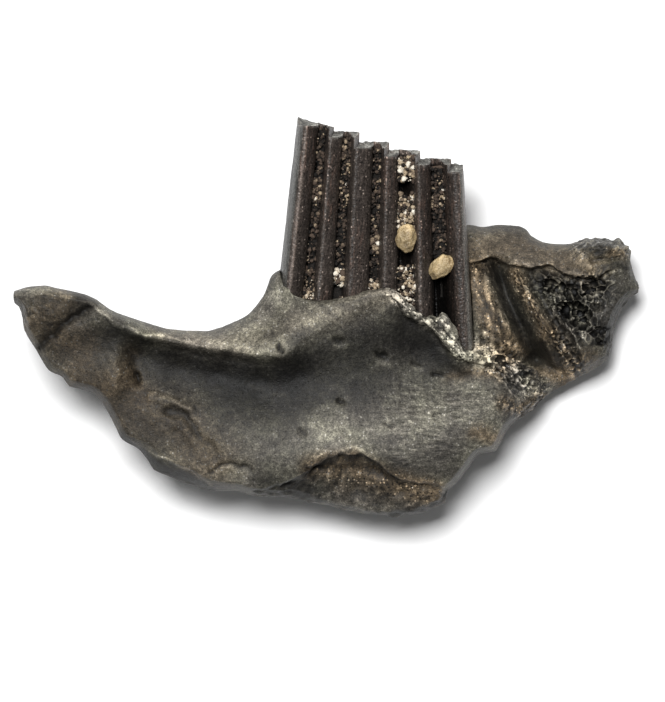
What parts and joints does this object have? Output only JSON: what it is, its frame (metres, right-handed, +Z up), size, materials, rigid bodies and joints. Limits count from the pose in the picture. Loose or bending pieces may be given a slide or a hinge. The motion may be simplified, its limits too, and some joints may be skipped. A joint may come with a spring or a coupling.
{
  "type": "fossil muskrat jaw",
  "caption": "Dark fossil rodent lower jaw, broken at both ends, lying on its cheek side, with a tall ridged molar in place, sediment in the molar's folds and empty sockets behind it.",
  "frame": {"origin": "middle of the footprint, at the height of the table that the jaw lies on", "axes": "+X from the broken front end to the broken rear end, +Y from the lower edge to the chewing face, +Z up from the table to the tongue side"},
  "size_m": [0.0288, 0.0184, 0.0083],
  "materials": {
    "bone": "dark mineralised bone, satin, standing in for stone",
    "enamel": "dark brown-black enamel, glossy",
    "sediment": "dull, granular",
    "sand": "dull tan grain"
  },
  "bodies": {
    "root": {"jaw_bone": "bone", "first_molar": "enamel", "sediment_inner_1": "sediment", "sediment_inner_2": "sediment", "sediment_inner_3": "sediment", "sediment_inner_4_upper": "sediment", "sediment_inner_4_middle": "sediment", "sediment_inner_4_lower": "sediment", "sediment_inner_5": "sediment", "sediment_outer_1": "sediment", "sediment_outer_2": "sediment", "sediment_outer_3": "sediment", "sediment_outer_4": "sediment", "sediment_outer_5": "sediment", "sand_grain_upper": "sand", "sand_grain_lower": "sand"}
  },
  "joints": []
}
